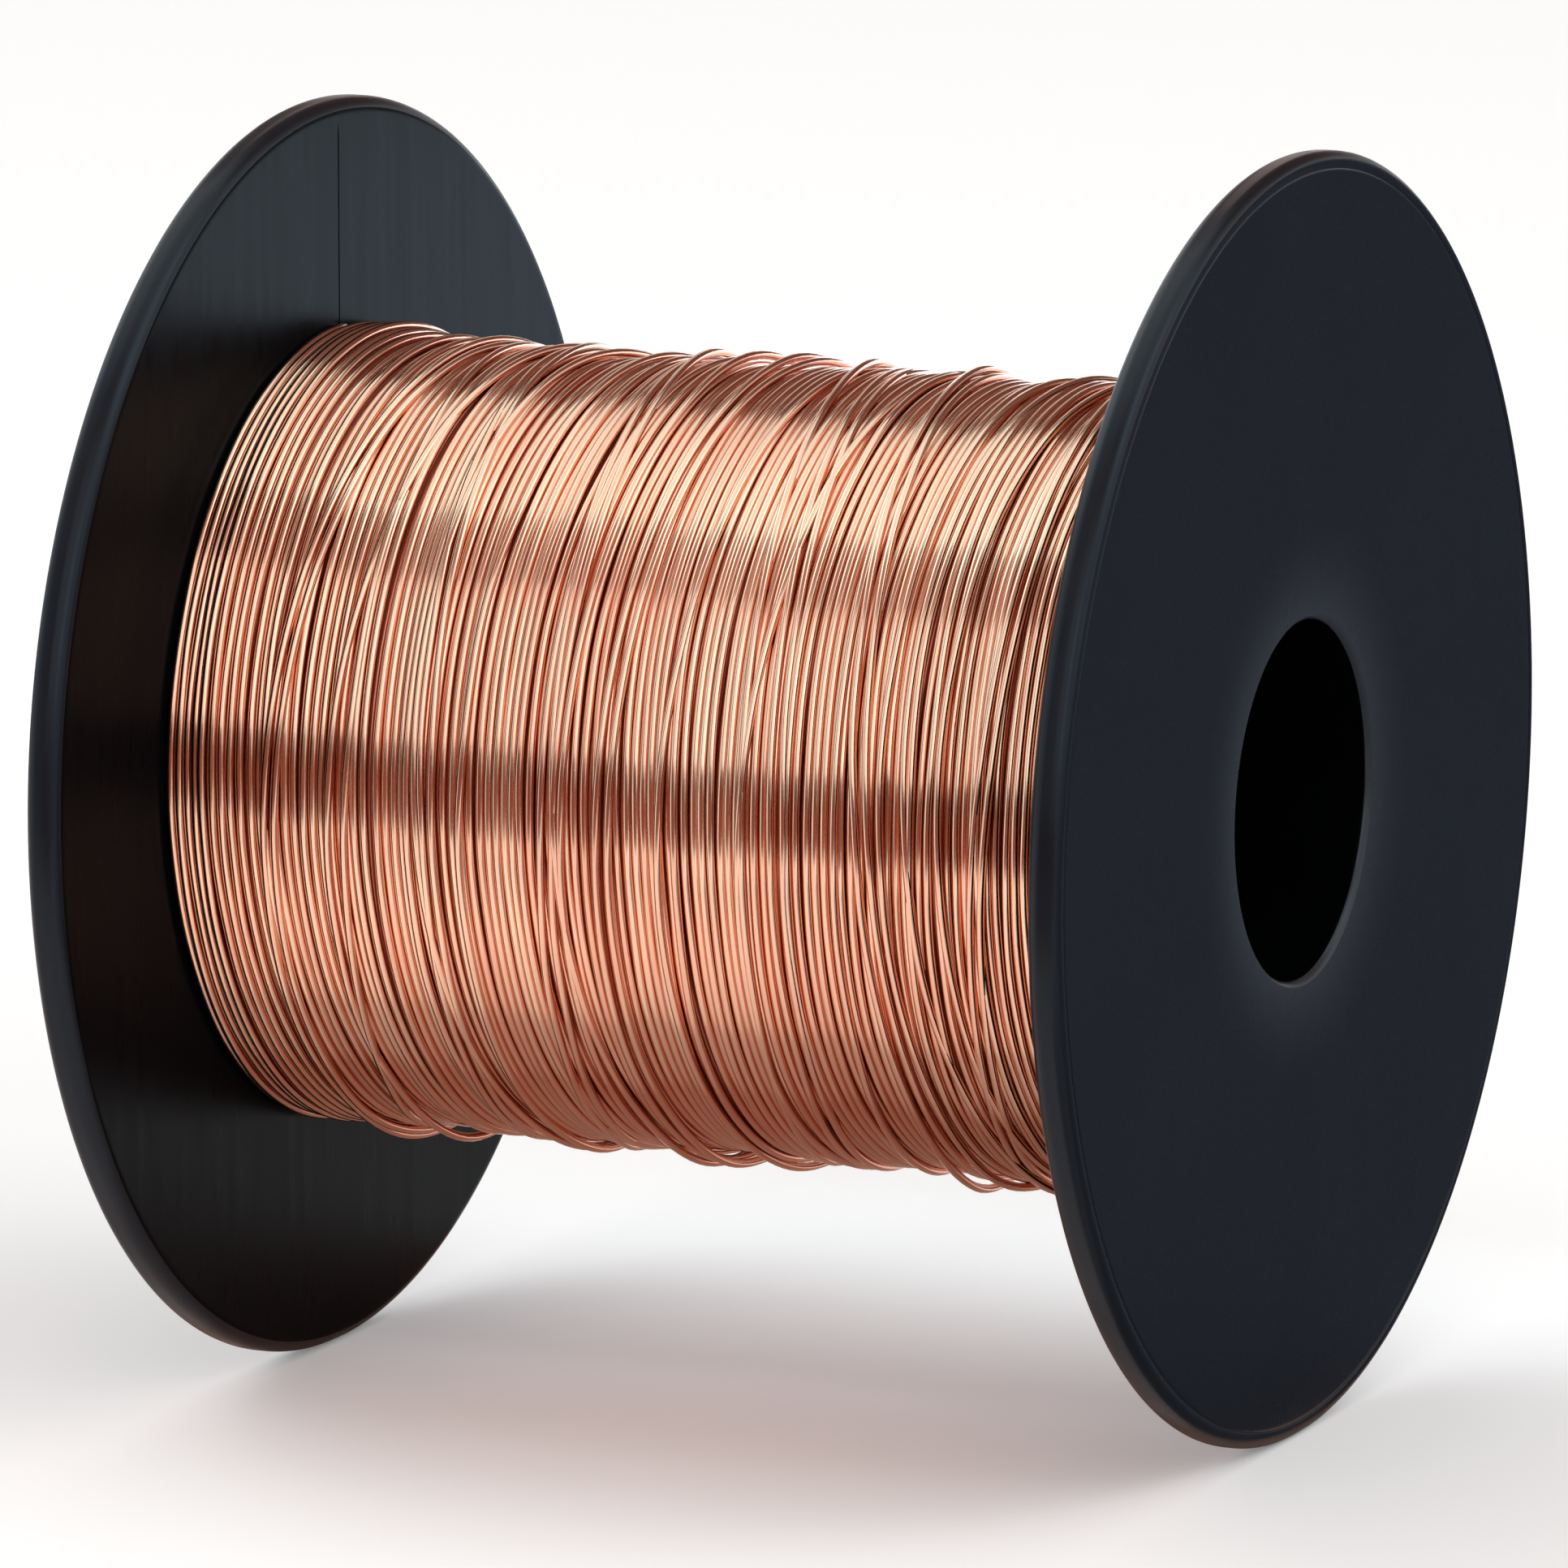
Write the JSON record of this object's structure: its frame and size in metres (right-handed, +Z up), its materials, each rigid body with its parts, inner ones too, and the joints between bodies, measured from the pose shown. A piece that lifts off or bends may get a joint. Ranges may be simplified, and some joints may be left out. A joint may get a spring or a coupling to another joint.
{
  "type": "wire spool",
  "caption": "Black plastic spool with two round flanges and an open spindle hole, wound full of bare copper wire.",
  "frame": {"origin": "on the spindle axis, midway between the outer faces of the two flanges", "axes": "+X along the spindle axis from the left flange to the right flange, +Z up, so that the spool lies on the rims of its flanges"},
  "size_m": [0.068, 0.08, 0.08],
  "materials": {
    "flange_plastic": "moulded black plastic with a faint blue cast, satin",
    "barrel_plastic": "plain black plastic tube",
    "copper_wire": "bright drawn copper, bare"
  },
  "bodies": {
    "root": {"left_flange": "flange_plastic", "right_flange": "flange_plastic", "barrel": "barrel_plastic", "wire_start": "copper_wire", "wire_packed_layers": "copper_wire", "wire_outer_layer": "copper_wire", "wire_crossing_turns": "copper_wire", "wire_tail": "copper_wire"}
  },
  "joints": []
}
